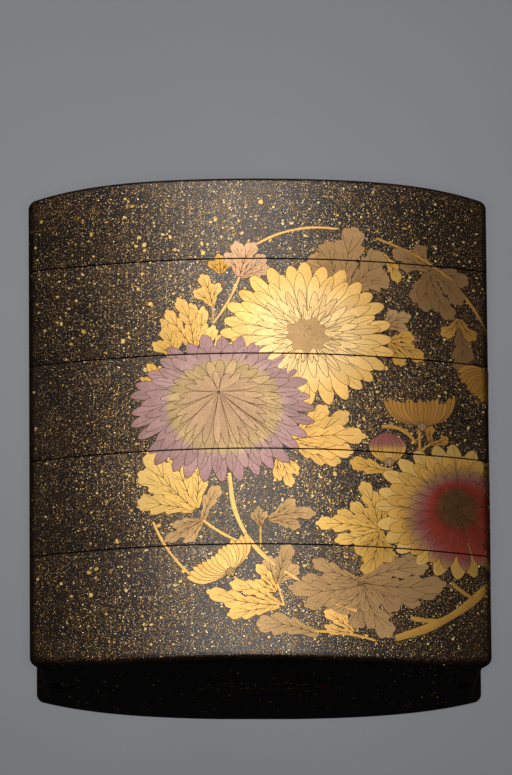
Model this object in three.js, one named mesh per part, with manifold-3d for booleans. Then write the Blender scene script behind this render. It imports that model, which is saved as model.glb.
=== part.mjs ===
// Inro: a small lacquered case of five stacked sections, lying on its back.
// Millimetres. X is the width, +Y points from the foot to the lid, +Z leaves the front face.
// Each section but the lid has a thin riser at its rim that fits inside the section above it.

import * as THREE from 'three';
import { mergeVertices } from 'three/addons/utils/BufferGeometryUtils.js';
import Module from 'manifold-3d';

const wasm = await Module();
wasm.setup();

// Whole case
const frontWidth = 60;
const backWidth = 58;
const caseDepth = 23;
const caseHeight = 68.25;
const faceRadius = 98.6; // curve of the broad front and back across the width
const faceEdgeRadius = 1; // where a broad face turns into a narrow side
const sideRecess = 1.1; // how far the narrow sides lie inside the face edges
const recessRun = 1.5; // depth in which the side drops to the floor of the recess
const restingFlatWidth = 10; // flat strip down the back that the case lies on

// Sections
const lidHeight = 12;
const trayHeight = 13.35;
const seamGap = 0.12;

// Domed ends
const domeEdgeRadius = 0.9;
const domePower = 4.5; // level in the middle, falling away near the narrow sides
const lidDomeDrop = 1.8;
const footDomeDrop = 1.3;
const domeDepthDrop = 0.35;
const domeRingScales = [0.86, 0.66, 0.36];

// Walls and the fit between sections
const wallThickness = 2;
const riserThickness = 0.85;
const riserHeight = 2.8;
const riserClearance = 0.15;
const socketDepth = 3;
const floorThickness = 1.2;
const endThickness = 2; // lid top and foot at their middle
const roomHalfWidth = 23.8;
const roomCornerRadius = 3;

// Cord channels, one inside each narrow side
const channelRadius = 1;
const channelOffset = 26.5;
const channelSides = 16;

// Lacquer, a little warmer where the gold dust lies thicker
const lacquerColours = {
  lid: 0x2a201b,
  upper_tray: 0x2b211b,
  middle_tray: 0x2d231c,
  lower_tray: 0x2a201a,
  bottom_case: 0x271d18,
};

// Steps along each stretch of a plan outline
const faceSteps = 8;
const cornerSteps = 4;
const recessSteps = 3;
const domeEdgeSteps = 3;

const midDepth = caseDepth / 2;
const topY = caseHeight / 2;
const footY = -caseHeight / 2;
const halfWidth = frontWidth / 2;

const sagitta = (x) => faceRadius - Math.sqrt(faceRadius ** 2 - x ** 2);

// Half of one broad face, from its middle to the floor of the side recess.
// Each point is [x, how far it lies behind the middle of the face].
function halfFace({ reach, corner, recess, flat }) {
  const lift = sagitta(flat);
  const tangentX = (reach - corner) / (1 - corner / faceRadius);
  const startAngle = Math.asin(tangentX / faceRadius);
  const cornerZ = sagitta(tangentX) - lift + corner * Math.cos(startAngle);
  const points = flat > 0 ? [[0, 0], [flat, 0]] : [[0, 0]];
  for (let i = 1; i <= faceSteps; i += 1) {
    const x = flat + ((tangentX - flat) * i) / faceSteps;
    points.push([x, sagitta(x) - lift]);
  }
  for (let i = 1; i <= cornerSteps; i += 1) {
    const angle = startAngle + ((Math.PI / 2 - startAngle) * i) / cornerSteps;
    points.push([reach - corner + corner * Math.sin(angle), cornerZ - corner * Math.cos(angle)]);
  }
  for (let i = 1; i <= recessSteps; i += 1) {
    const along = i / recessSteps;
    const x = reach - (recess * (1 - Math.cos(Math.PI * along))) / 2;
    points.push([x, cornerZ + recessRun * along]);
  }
  return points;
}

// Closed plan outline of [x, z] points that starts at the middle of the back.
function planOutline({ front, back, inset, corner, recess }) {
  const backHalf = halfFace({ reach: back, corner, recess, flat: restingFlatWidth / 2 });
  const frontHalf = halfFace({ reach: front, corner, recess, flat: 0 });
  const backSide = backHalf.map(([x, z]) => [x, inset + z]);
  const frontSide = frontHalf.map(([x, z]) => [x, caseDepth - inset - z]).reverse();
  const right = [...backSide, ...frontSide];
  const left = right.slice(1, -1).map(([x, z]) => [-x, z]).reverse();
  return [...right, ...left];
}

function shellOutline(inset) {
  return planOutline({
    front: frontWidth / 2 - inset,
    back: backWidth / 2 - inset,
    inset,
    corner: faceEdgeRadius - inset,
    recess: sideRecess,
  });
}

// The room inside a section, grown outwards by a margin for the riser and its socket.
function roomOutline(margin) {
  return planOutline({
    front: roomHalfWidth + margin,
    back: roomHalfWidth + margin,
    inset: wallThickness - margin,
    corner: roomCornerRadius + margin,
    recess: 0,
  });
}

const shell = shellOutline(0);
const room = roomOutline(0);
const riser = roomOutline(riserThickness);
const socket = roomOutline(riserThickness + riserClearance);

const levelRing = (outline, y) => outline.map(([x, z]) => [x, y, z]);

function domeDrop(sideDrop, x, z) {
  const across = sideDrop * (Math.abs(x) / halfWidth) ** domePower;
  return across + domeDepthDrop * ((z - midDepth) / midDepth) ** 2;
}

// Rings of a domed end from the top of the wall inwards; outward is 1 for the lid, -1 for the foot.
function domeRings(endY, sideDrop, outward) {
  const place = (outline, lower) => outline.map(
    ([x, z]) => [x, endY - outward * (lower + domeDrop(sideDrop, x, z)), z],
  );
  const rings = [];
  for (let i = 0; i <= domeEdgeSteps; i += 1) {
    const angle = (Math.PI / 2) * (i / domeEdgeSteps);
    const outline = shellOutline(domeEdgeRadius * (1 - Math.cos(angle)));
    rings.push(place(outline, domeEdgeRadius * (1 - Math.sin(angle))));
  }
  const edge = shellOutline(domeEdgeRadius);
  for (const scale of domeRingScales) {
    rings.push(place(edge.map(([x, z]) => [x * scale, midDepth + (z - midDepth) * scale]), 0));
  }
  return rings;
}

// Closed body through a run of rings, closed by a fan to a centre point at each end.
function loftGeometry(rings, firstY, lastY) {
  const count = rings[0].length;
  const positions = rings.flat(2);
  const firstCentre = rings.length * count;
  const lastCentre = firstCentre + 1;
  const lastRing = firstCentre - count;
  positions.push(0, firstY, midDepth, 0, lastY, midDepth);
  const index = [];
  for (let j = 0; j < count; j += 1) {
    const next = (j + 1) % count;
    index.push(firstCentre, next, j, lastCentre, lastRing + j, lastRing + next);
    for (let i = 0; i < rings.length - 1; i += 1) {
      const [a, b] = [i * count + j, i * count + next];
      index.push(a, b, a + count, b, b + count, a + count);
    }
  }
  const geometry = new THREE.BufferGeometry();
  geometry.setAttribute('position', new THREE.Float32BufferAttribute(positions, 3));
  geometry.setIndex(index);
  return geometry;
}

function toSolid(geometry) {
  return new wasm.Manifold(new wasm.Mesh({
    numProp: 3,
    vertProperties: new Float32Array(geometry.getAttribute('position').array),
    triVerts: new Uint32Array(geometry.getIndex().array),
  }));
}

function toGeometry(solid) {
  const { vertProperties, triVerts } = solid.getMesh();
  const geometry = new THREE.BufferGeometry();
  geometry.setAttribute('position', new THREE.Float32BufferAttribute(vertProperties, 3));
  geometry.setIndex(Array.from(triVerts));
  return geometry;
}

// A closed cylinder down one cord channel, its end fans sharing their vertices with the wall.
function channelGeometry(x) {
  const geometry = new THREE.CylinderGeometry(channelRadius, channelRadius, caseHeight * 2, channelSides);
  geometry.deleteAttribute('normal');
  geometry.deleteAttribute('uv');
  return mergeVertices(geometry.translate(x, 0, midDepth));
}

const channels = [-channelOffset, channelOffset].map((x) => toSolid(channelGeometry(x)));

function section(name, rings, firstY, lastY) {
  const block = toSolid(loftGeometry(rings, firstY, lastY));
  const body = channels.reduce((solid, channel) => solid.subtract(channel), block);
  const material = new THREE.MeshStandardMaterial({
    color: lacquerColours[name],
    roughness: 0.3,
    metalness: 0.1,
    flatShading: true,
  });
  const mesh = new THREE.Mesh(toGeometry(body), material);
  mesh.name = name;
  return mesh;
}

// The inside of a section from its floor up over the riser and out to the rim of the outer wall.
function openTopRings(floorY, rimY) {
  return [
    levelRing(room, floorY),
    levelRing(room, rimY + riserHeight),
    levelRing(riser, rimY + riserHeight),
    levelRing(riser, rimY),
    levelRing(shell, rimY),
  ];
}

function lidSection() {
  const rimY = topY - lidHeight + seamGap / 2;
  const ceilingY = topY - endThickness;
  const inside = [
    levelRing(room, ceilingY),
    levelRing(room, rimY + socketDepth),
    levelRing(socket, rimY + socketDepth),
    levelRing(socket, rimY),
    levelRing(shell, rimY),
  ];
  // The lid's rings run the other way up, so each outline is walked backwards to keep the faces outward.
  const rings = [...inside, ...domeRings(topY, lidDomeDrop, 1)].map((ring) => [...ring].reverse());
  return section('lid', rings, ceilingY, topY);
}

function traySection(name, seamY) {
  const underY = seamY - trayHeight + seamGap / 2;
  const socketTopY = underY + socketDepth;
  const floorY = socketTopY + floorThickness;
  const rings = [
    ...openTopRings(floorY, seamY - seamGap / 2),
    levelRing(shell, underY),
    levelRing(socket, underY),
    levelRing(socket, socketTopY),
  ];
  return section(name, rings, floorY, socketTopY);
}

function bottomSection(seamY) {
  const floorY = footY + endThickness;
  const rings = [...openTopRings(floorY, seamY - seamGap / 2), ...domeRings(footY, footDomeDrop, -1)];
  return section('bottom_case', rings, floorY, footY);
}

const inro = new THREE.Group();
inro.add(lidSection());
let seamY = topY - lidHeight;
for (const name of ['upper_tray', 'middle_tray', 'lower_tray']) {
  inro.add(traySection(name, seamY));
  seamY -= trayHeight;
}
inro.add(bottomSection(seamY));

export default inro;
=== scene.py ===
# Inro: a lacquer case of five stacked sections, lying on its back, with a chrysanthemum wreath in gold powders.
# Lengths are in millimetres until a mesh is made, and metres in Blender.
import math
import random

import bmesh
import bpy
import numpy as np
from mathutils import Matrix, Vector


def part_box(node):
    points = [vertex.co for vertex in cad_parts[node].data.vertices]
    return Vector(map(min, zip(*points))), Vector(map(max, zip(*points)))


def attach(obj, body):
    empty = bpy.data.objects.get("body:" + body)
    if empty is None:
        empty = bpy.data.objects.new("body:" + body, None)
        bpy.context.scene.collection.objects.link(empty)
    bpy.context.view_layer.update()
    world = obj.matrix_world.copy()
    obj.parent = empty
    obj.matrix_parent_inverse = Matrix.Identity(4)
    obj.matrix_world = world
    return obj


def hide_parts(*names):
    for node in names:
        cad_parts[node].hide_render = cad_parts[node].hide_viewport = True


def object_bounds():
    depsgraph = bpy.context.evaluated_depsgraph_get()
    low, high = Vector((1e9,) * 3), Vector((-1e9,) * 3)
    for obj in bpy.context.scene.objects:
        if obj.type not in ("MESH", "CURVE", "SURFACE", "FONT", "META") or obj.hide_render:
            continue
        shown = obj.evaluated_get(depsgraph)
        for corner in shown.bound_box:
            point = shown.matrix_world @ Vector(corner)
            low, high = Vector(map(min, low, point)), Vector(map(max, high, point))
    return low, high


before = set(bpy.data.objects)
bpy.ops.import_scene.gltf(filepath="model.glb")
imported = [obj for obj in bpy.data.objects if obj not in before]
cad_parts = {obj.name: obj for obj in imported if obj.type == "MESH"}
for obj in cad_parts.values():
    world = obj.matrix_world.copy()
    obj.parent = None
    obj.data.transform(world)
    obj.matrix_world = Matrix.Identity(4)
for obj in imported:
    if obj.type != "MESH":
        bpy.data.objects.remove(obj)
cadLow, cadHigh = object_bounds()
mm = 0.001

# The case, as the CAD has it

case = dict(
    faceRadius=98.6,  # curve of the broad faces across the width
    faceEdge=1.0,  # where a broad face turns into a narrow side
    backNarrower=1.0,  # the back is this much narrower at each side
    sideRecess=1.1,  # the narrow sides lie this far inside the face edges
    recessRun=1.5,
    restingFlat=5.0,  # half of the flat strip the case lies on
    groundDepth=0.08,  # the lacquer ground lies this far inside, and the gold stands on it
    seamRound=0.07,  # rounding of each section's edge at a seam
    wall=2.0,
    riserThickness=0.85,
    riserHeight=2.8,
    riserClearance=0.15,
    socketDepth=3.0,
    floorThickness=1.2,
    endThickness=2.0,
    roomHalfWidth=23.8,
    roomCorner=3.0,
    domeEdge=0.9,
    domePower=4.5,  # level in the middle, falling away near the narrow sides
    lidDrop=1.8,
    footDrop=1.3,
    domeDepthDrop=0.35,
    domeRings=(0.96, 0.9, 0.82, 0.72, 0.6, 0.45, 0.25),
    channelRadius=1.0,
    channelOffset=26.5,
)

outlineSteps = dict(face=40, corner=14, recess=8, domeEdge=6, seamRound=4)

halfWidth = cadHigh.x / mm
caseDepth = cadHigh.z / mm
midDepth = caseDepth / 2
topY = cadHigh.y / mm
footY = cadLow.y / mm

# The lowest edge of each section but the bottom one is the upper edge of the gap below it.
sectionNames = ["lid", "upper_tray", "middle_tray", "lower_tray", "bottom_case"]
underEdges = [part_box(name)[0].y / mm for name in sectionNames[:4]]
seamGap = 0.12
rimEdges = [y - seamGap for y in underEdges]
sectionSpans = list(zip(underEdges + [footY], [topY] + rimEdges))


def sagitta(x):
    return case["faceRadius"] - math.sqrt(case["faceRadius"] ** 2 - x**2)


def halfFace(reach, corner, recess, flat):
    # Half of one broad face, from its middle to the floor of the side recess: [x, depth behind the middle]
    lift = sagitta(flat)
    tangentX = (reach - corner) / (1 - corner / case["faceRadius"])
    startAngle = math.asin(tangentX / case["faceRadius"])
    cornerZ = sagitta(tangentX) - lift + corner * math.cos(startAngle)
    points = [(0, 0), (flat, 0)] if flat > 0 else [(0, 0)]
    for i in range(1, outlineSteps["face"] + 1):
        x = flat + (tangentX - flat) * i / outlineSteps["face"]
        points.append((x, sagitta(x) - lift))
    for i in range(1, outlineSteps["corner"] + 1):
        angle = startAngle + (math.pi / 2 - startAngle) * i / outlineSteps["corner"]
        points.append((reach - corner + corner * math.sin(angle), cornerZ - corner * math.cos(angle)))
    for i in range(1, outlineSteps["recess"] + 1):
        along = i / outlineSteps["recess"]
        points.append((reach - recess * (1 - math.cos(math.pi * along)) / 2, cornerZ + case["recessRun"] * along))
    return points


def rightSide(front, back, inset, corner, recess):
    # From the middle of the back round the right side to the middle of the front
    backHalf = halfFace(back, corner, recess, case["restingFlat"])
    frontHalf = halfFace(front, corner, recess, 0)
    return [(x, inset + z) for x, z in backHalf] + [(x, caseDepth - inset - z) for x, z in reversed(frontHalf)]


def closeOutline(right):
    return np.array(right + [(-x, z) for x, z in reversed(right[1:-1])])


def shellSide(inset):
    deep = inset + case["groundDepth"]
    return rightSide(
        halfWidth - deep, halfWidth - case["backNarrower"] - deep, deep, case["faceEdge"] - inset, case["sideRecess"]
    )


def shellOutline(inset):
    return closeOutline(shellSide(inset))


def roomOutline(margin):
    # The room inside a section, grown outwards for the riser and its socket
    reach = case["roomHalfWidth"] + margin
    return closeOutline(rightSide(reach, reach, case["wall"] - margin, case["roomCorner"] + margin, 0))


roomShape = roomOutline(0)
riserShape = roomOutline(case["riserThickness"])
socketShape = roomOutline(case["riserThickness"] + case["riserClearance"])


def levelRing(outline, y):
    return np.column_stack([outline[:, 0], np.full(len(outline), y), outline[:, 1]])


def domeDrop(sideDrop, x, z):
    across = sideDrop * (np.abs(x) / halfWidth) ** case["domePower"]
    return across + case["domeDepthDrop"] * ((z - midDepth) / midDepth) ** 2


def domeRings(endY, sideDrop, outward):
    # A domed end from the top of the wall inwards; outward is 1 for the lid and -1 for the foot
    high = endY - outward * case["groundDepth"]

    def place(outline, lower):
        x, z = outline[:, 0], outline[:, 1]
        return np.column_stack([x, high - outward * (lower + domeDrop(sideDrop, x, z)), z])

    rings = []
    for i in range(outlineSteps["domeEdge"] + 1):
        angle = math.pi / 2 * i / outlineSteps["domeEdge"]
        outline = shellOutline(case["domeEdge"] * (1 - math.cos(angle)))
        rings.append(place(outline, case["domeEdge"] * (1 - math.sin(angle))))
    edge = shellOutline(case["domeEdge"])
    for scale in case["domeRings"]:
        rings.append(place(np.column_stack([edge[:, 0] * scale, midDepth + (edge[:, 1] - midDepth) * scale]), 0))
    return rings


def seamRings(edgeY, inward):
    # The rounding of the outer wall at a seam, from the seam's face to the wall; inward points into the section
    rings = []
    radius = case["seamRound"]
    for i in range(outlineSteps["seamRound"] + 1):
        angle = math.pi / 2 * i / outlineSteps["seamRound"]
        outline = shellOutline(radius * (1 - math.sin(angle)))
        rings.append(levelRing(outline, edgeY + inward * radius * (1 - math.cos(angle))))
    return rings


# ---- colours and node trees ----


def toLinear(code):
    parts = [int(code[i : i + 2], 16) / 255 for i in (1, 3, 5)]
    return tuple(p / 12.92 if p <= 0.04045 else ((p + 0.055) / 1.055) ** 2.4 for p in parts) + (1.0,)


def addNode(tree, kind, settings=None, links=None):
    node = tree.nodes.new(kind)
    for key, value in (settings or {}).items():
        if isinstance(key, str) and key[0].islower():
            setattr(node, key, value)
    for key, value in (settings or {}).items():
        if not (isinstance(key, str) and key[0].islower()):
            node.inputs[key].default_value = value
    for key, source in (links or {}).items():
        tree.links.new(source, node.inputs[key])
    return node


def startMaterial(name, **settings):
    material = bpy.data.materials.new(name)
    material.use_nodes = True
    tree = material.node_tree
    tree.nodes.clear()
    shader = addNode(tree, "ShaderNodeBsdfPrincipled", settings)
    addNode(tree, "ShaderNodeOutputMaterial", links={"Surface": shader.outputs["BSDF"]})
    place = addNode(tree, "ShaderNodeTexCoord").outputs["Object"]
    return material, tree, shader, place


def calculate(tree, operation, first, second, third=None):
    # One Math node; each term is a number or another node's output
    terms = {0: first, 1: second}
    if third is not None:
        terms[2] = third
    numbers = {key: term for key, term in terms.items() if isinstance(term, (int, float))}
    outputs = {key: term for key, term in terms.items() if key not in numbers}
    return addNode(tree, "ShaderNodeMath", {"operation": operation, **numbers}, outputs).outputs[0]


def mixColours(tree, share, low, high):
    settings = {"data_type": "RGBA"}
    links = {0: share}
    for key, colour in ((6, low), (7, high)):
        if isinstance(colour, str):
            settings[key] = toLinear(colour)
        else:
            links[key] = colour
    return addNode(tree, "ShaderNodeMix", settings, links).outputs[2]


def noiseAt(tree, place, size, detail=2.0):
    # Noise whose features are about size millimetres across
    return addNode(tree, "ShaderNodeTexNoise", {"Scale": 1 / (size * mm), "Detail": detail}, {"Vector": place}).outputs[0]


def spreadOver(tree, value, fromLow, fromHigh, toLow, toHigh):
    settings = {1: fromLow, 2: fromHigh, 3: toLow, 4: toHigh}
    return addNode(tree, "ShaderNodeMapRange", settings, {0: value}).outputs[0]


# ---- materials ----

wreathCentre = (10.8, -2.2)
wreathRadius = 26.4


def dustLayer(tree, place, grain, share, size):
    # Flakes of metal dust: one to a cell, in a share of the cells, each with its own size, colour and tilt
    cells = addNode(tree, "ShaderNodeTexVoronoi", {"Scale": 1 / (grain * mm)}, {"Vector": place})
    parts = addNode(tree, "ShaderNodeSeparateColor", links={"Color": cells.outputs["Color"]})
    chosen = calculate(tree, "LESS_THAN", parts.outputs["Red"], share)
    radius = calculate(tree, "MULTIPLY_ADD", parts.outputs["Green"], size * 0.6, size * 0.5)
    near = calculate(tree, "LESS_THAN", cells.outputs["Distance"], radius)
    mask = calculate(tree, "MULTIPLY", chosen, near)
    lean = addNode(tree, "ShaderNodeTexWhiteNoise", links={"Vector": cells.outputs["Position"]}).outputs["Color"]
    return mask, parts.outputs["Blue"], lean


def tiltedNormal(tree, colour, mask, amount):
    # The surface normal, turned a little a different way on every flake
    normal = addNode(tree, "ShaderNodeNewGeometry").outputs["Normal"]
    around = addNode(tree, "ShaderNodeVectorMath", {"operation": "SUBTRACT", 1: (0.5, 0.5, 0.5)}, {0: colour})
    size = calculate(tree, "MULTIPLY", mask, amount)
    lean = addNode(tree, "ShaderNodeVectorMath", {"operation": "SCALE"}, {0: around.outputs[0], 3: size})
    total = addNode(tree, "ShaderNodeVectorMath", {"operation": "ADD"}, {0: normal, 1: lean.outputs[0]})
    return addNode(tree, "ShaderNodeVectorMath", {"operation": "NORMALIZE"}, {0: total.outputs[0]}).outputs[0]


groundLook = dict(
    lacquer="#120c08",  # polished black lacquer, warm where it is thin
    lacquerWarm="#2a1a10",
    dustLow="#8c5c28",
    dustHigh="#f2d294",
    fineGrain=0.11,  # real dust is about 0.05 mm; drawn at this size so that it shows
    coarseGrain=0.32,
    fineShare=(0.5, 0.66),  # share of cells with dust, away from the wreath and inside it
    coarseShare=(0.04, 0.15),
    patchSize=9.0,
    tilt=0.3,
)


# The foot's copy of the ground is darker, with little dust: painted shade, since the underside faces away from the
# light
shadedFootLook = dict(groundLook, lacquer="#0a0605", lacquerWarm="#130b07", fineShare=(0.1, 0.1), coarseShare=(0.03, 0.03))


def sprinkledLacquer(name, look):
    # Black roiro lacquer over sprinkled gold dust, polished flat: dark gloss with points that glint one by one
    material, tree, shader, place = startMaterial(name, IOR=1.5)
    offset = addNode(
        tree,
        "ShaderNodeVectorMath",
        {"operation": "SUBTRACT", 1: (wreathCentre[0] * mm, wreathCentre[1] * mm, 0)},
        {0: place},
    )
    flat = addNode(tree, "ShaderNodeVectorMath", {"operation": "MULTIPLY", 1: (1, 1, 0)}, {0: offset.outputs[0]})
    reach = addNode(tree, "ShaderNodeVectorMath", {"operation": "LENGTH"}, {0: flat.outputs[0]}).outputs["Value"]
    closeness = spreadOver(tree, reach, 42 * mm, 22 * mm, 0, 1)
    patches = spreadOver(tree, noiseAt(tree, place, look["patchSize"], 3.0), 0.35, 0.65, 0.65, 1.25)
    masks = []
    for grain, share, size in (
        (look["fineGrain"], look["fineShare"], 0.5),
        (look["coarseGrain"], look["coarseShare"], 0.3),
    ):
        near = spreadOver(tree, closeness, 0, 1, *share)
        masks.append(dustLayer(tree, place, grain, calculate(tree, "MULTIPLY", near, patches), size))
    dust = calculate(tree, "MAXIMUM", masks[0][0], masks[1][0])
    shade = calculate(tree, "MULTIPLY", masks[0][1], masks[0][1])
    metalColour = mixColours(tree, shade, look["dustLow"], look["dustHigh"])
    metalColour = mixColours(tree, masks[1][0], metalColour, look["dustHigh"])
    warmth = spreadOver(tree, noiseAt(tree, place, 4.0), 0.3, 0.7, 0, 1)
    lacquer = mixColours(tree, warmth, look["lacquer"], look["lacquerWarm"])
    tree.links.new(mixColours(tree, dust, lacquer, metalColour), shader.inputs["Base Color"])
    tree.links.new(dust, shader.inputs["Metallic"])
    tree.links.new(spreadOver(tree, dust, 0, 1, 0.3, 0.36), shader.inputs["Roughness"])
    tree.links.new(tiltedNormal(tree, masks[0][2], dust, look["tilt"]), shader.inputs["Normal"])
    return material


rimLook = dict(lacquer="#0d0907", wear="#3a2415", smear=0.8)


def rimLacquer(name, look):
    # Plain black lacquer on the risers and edges, rubbed brown where the sections slide over each other
    material, tree, shader, place = startMaterial(name, IOR=1.5)
    rubbed = spreadOver(tree, noiseAt(tree, place, look["smear"], 4.0), 0.5, 0.75, 0, 1)
    tree.links.new(mixColours(tree, rubbed, look["lacquer"], look["wear"]), shader.inputs["Base Color"])
    tree.links.new(spreadOver(tree, rubbed, 0, 1, 0.25, 0.45), shader.inputs["Roughness"])
    return material


nashijiLook = dict(amber="#3b1f0c", deep="#241206", gold="#d9a24e", grain=0.3, share=0.62)


def nashijiLacquer(name, look):
    # Pear-skin lacquer of the inside: dense gold flakes seen through amber lacquer
    material, tree, shader, place = startMaterial(name, IOR=1.5)
    shader.inputs["Coat Weight"].default_value = 0.6
    shader.inputs["Coat Roughness"].default_value = 0.12
    flakes, shade, colour = dustLayer(tree, place, look["grain"], look["share"], 0.55)
    amber = mixColours(tree, spreadOver(tree, noiseAt(tree, place, 5.0), 0.3, 0.7, 0, 1), look["deep"], look["amber"])
    tree.links.new(mixColours(tree, flakes, amber, look["gold"]), shader.inputs["Base Color"])
    tree.links.new(flakes, shader.inputs["Metallic"])
    tree.links.new(spreadOver(tree, shade, 0, 1, 0.3, 0.5), shader.inputs["Roughness"])
    tree.links.new(tiltedNormal(tree, colour, flakes, 0.4), shader.inputs["Normal"])
    return material


powderLooks = dict(
    paleGold=dict(colours=("#e8ad58", "#f4c474", "#fbd69a"), roughness=0.46),
    richGold=dict(colours=("#c28a44", "#dba951", "#f6cf82"), roughness=0.46),
    brownGold=dict(colours=("#8c6840", "#a98255", "#c8a26f"), roughness=0.48),
    rosyGold=dict(colours=("#b8825a", "#d3a378", "#e2bd95"), roughness=0.48),
    mauve=dict(colours=("#c09a78", "#c6a17a", "#c8a976", "#bd9990", "#b68f89", "#ad766a"), roughness=0.5),
    # boss, crimson, dusky rose and gold
    crimson=dict(colours=("#6b4a2e", "#9c3c2e", "#a6493b", "#a0605a", "#b08458", "#dba651", "#e2b25c"), roughness=0.48),
    bossBrown=dict(colours=("#4e3822", "#6e5433", "#8d7148"), roughness=0.55),
)
powderGrain = 0.16  # real powder is 0.03 mm; drawn at this size so that it shows


def goldPowder(name, look):
    # Metal powder laid on wet lacquer and polished: a soft sheen with a fine sandy grain
    material, tree, shader, place = startMaterial(name, Metallic=1.0)
    powder = addNode(tree, "ShaderNodeAttribute", {"attribute_name": "powder"}).outputs["Vector"]
    parts = addNode(tree, "ShaderNodeSeparateXYZ", links={0: powder})
    steps = len(look["colours"]) - 1
    colour = look["colours"][0]
    for i in range(steps):
        share = spreadOver(tree, parts.outputs["X"], i / steps, (i + 1) / steps, 0, 1)
        colour = mixColours(tree, share, colour, look["colours"][i + 1])
    grain = spreadOver(tree, noiseAt(tree, place, powderGrain, 3.0), 0.3, 0.7, 0.84, 1.08)
    clouds = spreadOver(tree, noiseAt(tree, place, 1.6), 0.3, 0.7, 0.92, 1.06)
    petalShade = spreadOver(tree, parts.outputs["Y"], 0, 1, 0.86, 1.06)
    level = calculate(tree, "MULTIPLY", calculate(tree, "MULTIPLY", grain, clouds), petalShade)
    scaled = addNode(tree, "ShaderNodeVectorMath", {"operation": "SCALE"}, {0: colour, 3: level}).outputs[0]
    tree.links.new(scaled, shader.inputs["Base Color"])
    roughness = spreadOver(tree, grain, 0.84, 1.08, look["roughness"] + 0.06, look["roughness"] - 0.04)
    tree.links.new(roughness, shader.inputs["Roughness"])
    bump = addNode(
        tree,
        "ShaderNodeBump",
        {"Strength": 0.25, "Distance": 0.006 * mm},
        {"Height": noiseAt(tree, place, powderGrain * 0.7)},
    )
    tree.links.new(bump.outputs[0], shader.inputs["Normal"])
    return material


def drawnLine(name):
    # Fine lines drawn in brown lacquer mixed with a little gold, so they stay visible in the band of light
    material, tree, shader, place = startMaterial(name, Metallic=0.7)
    dusty = spreadOver(tree, noiseAt(tree, place, 0.3), 0.35, 0.65, 0, 1)
    tree.links.new(mixColours(tree, dusty, "#452b17", "#704d2c"), shader.inputs["Base Color"])
    tree.links.new(spreadOver(tree, dusty, 0, 1, 0.45, 0.55), shader.inputs["Roughness"])
    return material


def cutFlake(name):
    # Cut gold foil flakes under polished lacquer: small mirrors that each catch the light on their own
    material, tree, shader, place = startMaterial(name, Metallic=1.0)
    chance = addNode(tree, "ShaderNodeNewGeometry").outputs["Random Per Island"]
    colour = mixColours(tree, chance, "#ecb552", "#ffe09a")
    dulled = spreadOver(tree, noiseAt(tree, place, 0.15), 0.35, 0.6, 0.75, 1.0)
    scaled = addNode(tree, "ShaderNodeVectorMath", {"operation": "SCALE"}, {0: colour, 3: dulled}).outputs[0]
    tree.links.new(scaled, shader.inputs["Base Color"])
    tree.links.new(spreadOver(tree, chance, 0, 1, 0.4, 0.58), shader.inputs["Roughness"])
    return material


def backdropPaper(name):
    # Matt grey studio paper with a barely visible mottle
    material, tree, shader, place = startMaterial(name, IOR=1.45, Roughness=0.9)
    mottle = spreadOver(tree, noiseAt(tree, place, 60.0, 3.0), 0.3, 0.7, 0, 1)
    tree.links.new(mixColours(tree, mottle, "#a3a5aa", "#a9abb0"), shader.inputs["Base Color"])
    return material


groundMaterial = sprinkledLacquer("roiroSprinkledLacquer", groundLook)
# The foot's lacquer is painted shade: a darker copy of the ground with little dust
shadedFootMaterial = sprinkledLacquer("footSprinkledLacquerPaintedShade", shadedFootLook)
rimMaterial = rimLacquer("plainBlackLacquer", rimLook)
nashijiMaterial = nashijiLacquer("nashijiLacquer", nashijiLook)
powderMaterials = {key: goldPowder(key + "Powder", look) for key, look in powderLooks.items()}
lineMaterial = drawnLine("drawnDarkLine")
flakeMaterial = cutFlake("cutGoldFlake")
print("materials made:", len(bpy.data.materials))


# ---- meshes ----


def makeObject(name, points, faces, materials, faceMaterials=None, powder=None, sharp=32):
    mesh = bpy.data.meshes.new(name)
    mesh.from_pydata([tuple(p) for p in np.asarray(points) * mm], [], faces)
    for material in materials:
        mesh.materials.append(material)
    if faceMaterials is not None:
        mesh.polygons.foreach_set("material_index", faceMaterials)
    if powder is not None:
        attribute = mesh.attributes.new("powder", "FLOAT_VECTOR", "POINT")
        attribute.data.foreach_set("vector", np.asarray(powder, np.float32).ravel())
    mesh.shade_smooth()
    mesh.set_sharp_from_angle(angle=math.radians(sharp))
    piece = bpy.data.objects.new(name, mesh)
    bpy.context.scene.collection.objects.link(piece)
    return piece


def loftFaces(ringCount, count):
    faces = []
    for i in range(ringCount - 1):
        for j in range(count):
            k = (j + 1) % count
            faces.append((i * count + j, i * count + k, (i + 1) * count + k, (i + 1) * count + j))
    return faces


def cutChannels(piece):
    # A cord hole down each narrow side
    for side in (-1, 1):
        bpy.ops.mesh.primitive_cylinder_add(
            vertices=32,
            radius=case["channelRadius"] * mm,
            depth=(topY - footY) * 2 * mm,
            location=(side * case["channelOffset"] * mm, 0, midDepth * mm),
            rotation=(math.pi / 2, 0, 0),
        )
        cutter = bpy.context.object
        cutter.data.materials.append(rimMaterial)
        modifier = piece.modifiers.new("channel", "BOOLEAN")
        modifier.object = cutter
        modifier.operation = "DIFFERENCE"
        modifier.solver = "EXACT"
        modifier.material_mode = "TRANSFER"
        shown = piece.evaluated_get(bpy.context.evaluated_depsgraph_get())
        cut = bpy.data.meshes.new_from_object(shown)
        piece.modifiers.clear()
        piece.data = cut
        bpy.data.objects.remove(cutter)
    piece.data.set_sharp_from_angle(angle=math.radians(32))


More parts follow.
